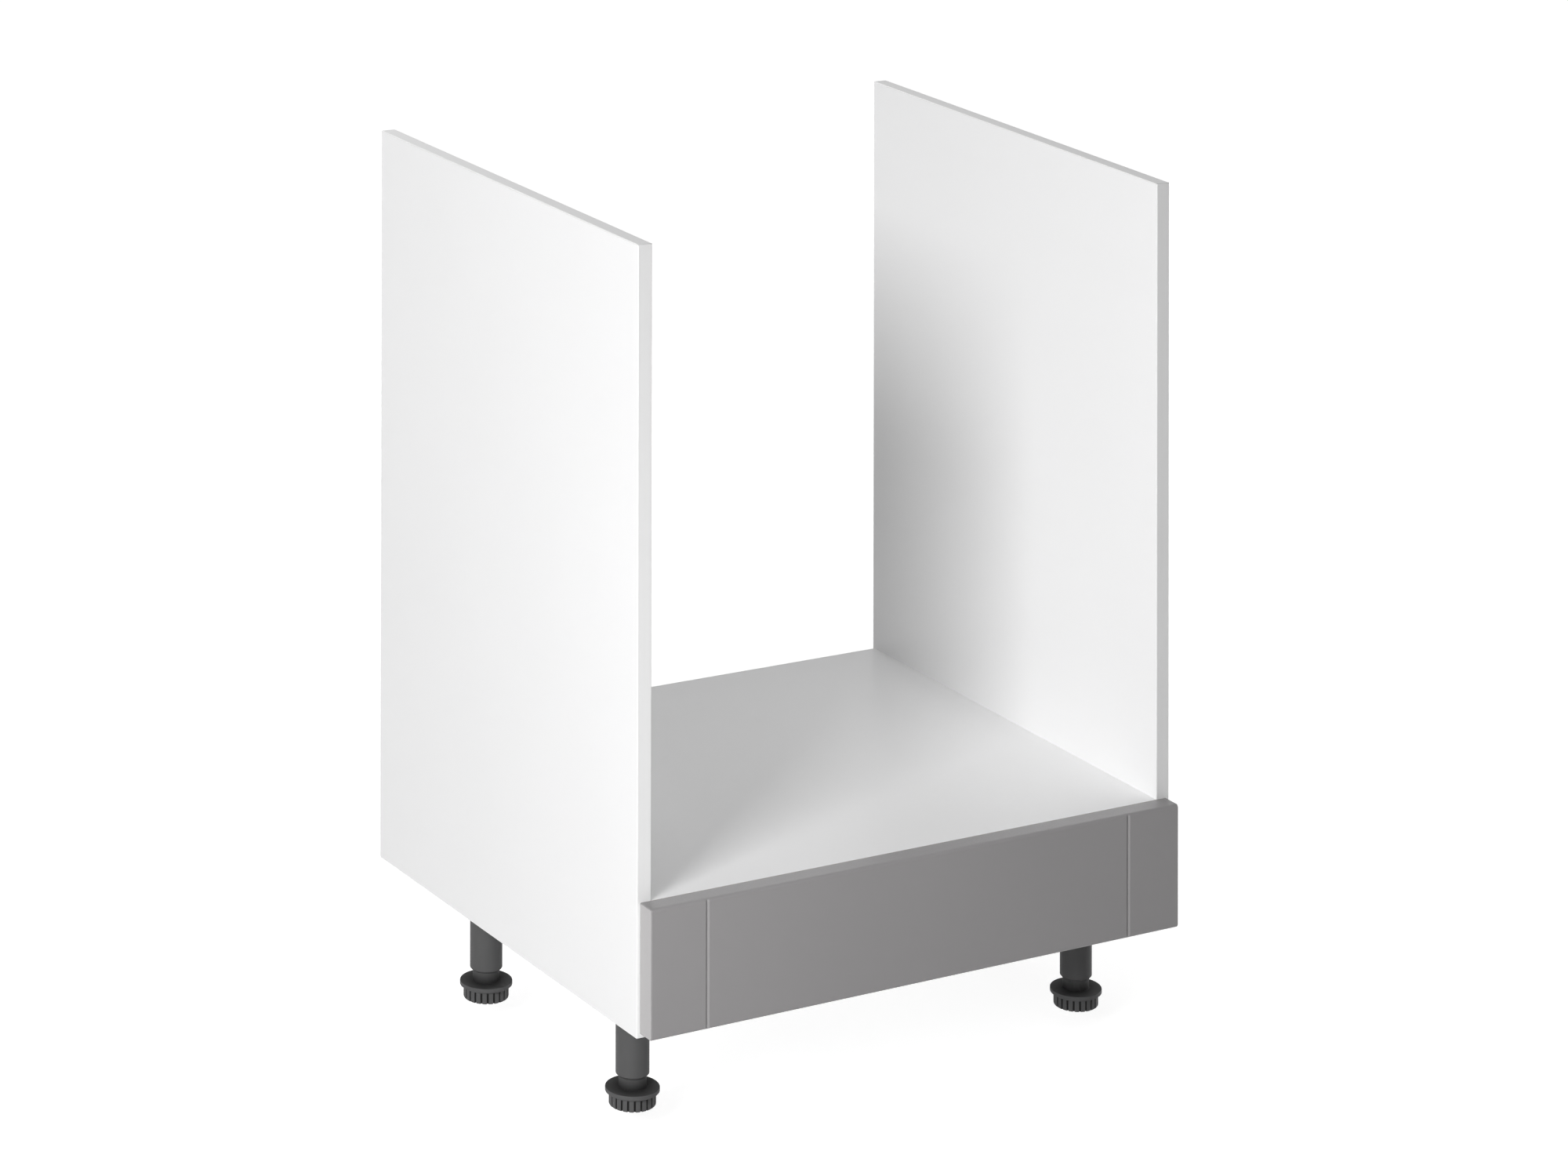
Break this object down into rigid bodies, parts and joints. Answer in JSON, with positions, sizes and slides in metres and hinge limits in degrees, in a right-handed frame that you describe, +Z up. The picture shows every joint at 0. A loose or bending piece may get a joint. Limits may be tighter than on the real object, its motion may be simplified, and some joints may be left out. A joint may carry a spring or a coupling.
{
  "type": "oven base cabinet",
  "caption": "Open kitchen base cabinet for a built-in oven: board sides, oven deck, fixed grooved front below it and adjustable plastic legs.",
  "frame": {"origin": "on the floor, under the middle of the cabinet's width and depth", "axes": "+Z up, +X to the right seen from the front, the front faces -Y"},
  "size_m": [0.6, 0.52, 0.82],
  "materials": {
    "white_board": "white melamine faced chipboard, satin",
    "white_edging": "white plastic edging, satin",
    "grey_front": "grey foil on fibreboard, satin",
    "leg_plastic": "dark grey moulded plastic, fine texture",
    "zinc_cam": "die-cast zinc, bright",
    "plated_steel": "zinc plated steel",
    "beech_dowel": "plain beech"
  },
  "bodies": {
    "carcass": {"left_side_panel": "white_board", "right_side_panel": "white_board", "left_front_edging": "white_edging", "left_top_edging": "white_edging", "right_front_edging": "white_edging", "right_top_edging": "white_edging", "oven_deck": "white_board", "bottom_panel": "white_board", "front_panel": "grey_front", "deck_cam_locks": "zinc_cam", "deck_cam_bolts": "plated_steel", "deck_dowels": "beech_dowel", "bottom_cam_locks": "zinc_cam", "bottom_cam_bolts": "plated_steel", "bottom_dowels": "beech_dowel", "front_bracket_lower_left": "plated_steel", "front_bracket_lower_right": "plated_steel", "front_bracket_upper_left": "plated_steel", "front_bracket_upper_right": "plated_steel", "front_bracket_screws": "plated_steel", "front_left_leg_socket": "leg_plastic", "front_left_leg_tube": "leg_plastic", "front_right_leg_socket": "leg_plastic", "front_right_leg_tube": "leg_plastic", "rear_left_leg_socket": "leg_plastic", "rear_left_leg_tube": "leg_plastic", "rear_right_leg_socket": "leg_plastic", "rear_right_leg_tube": "leg_plastic", "leg_socket_screws": "plated_steel"},
    "front_left_foot": {"front_left_leg_foot": "leg_plastic"},
    "front_right_foot": {"front_right_leg_foot": "leg_plastic"},
    "rear_left_foot": {"rear_left_leg_foot": "leg_plastic"},
    "rear_right_foot": {"rear_right_leg_foot": "leg_plastic"}
  },
  "joints": [
    {"name": "front_left_foot_level", "type": "slide", "parent": "carcass", "child": "front_left_foot", "axis": [0, 0, 1], "range_m": [-0.02, 0.0095]},
    {"name": "front_right_foot_level", "type": "slide", "parent": "carcass", "child": "front_right_foot", "axis": [0, 0, 1], "range_m": [-0.02, 0.0095]},
    {"name": "rear_left_foot_level", "type": "slide", "parent": "carcass", "child": "rear_left_foot", "axis": [0, 0, 1], "range_m": [-0.02, 0.0095]},
    {"name": "rear_right_foot_level", "type": "slide", "parent": "carcass", "child": "rear_right_foot", "axis": [0, 0, 1], "range_m": [-0.02, 0.0095]}
  ]
}
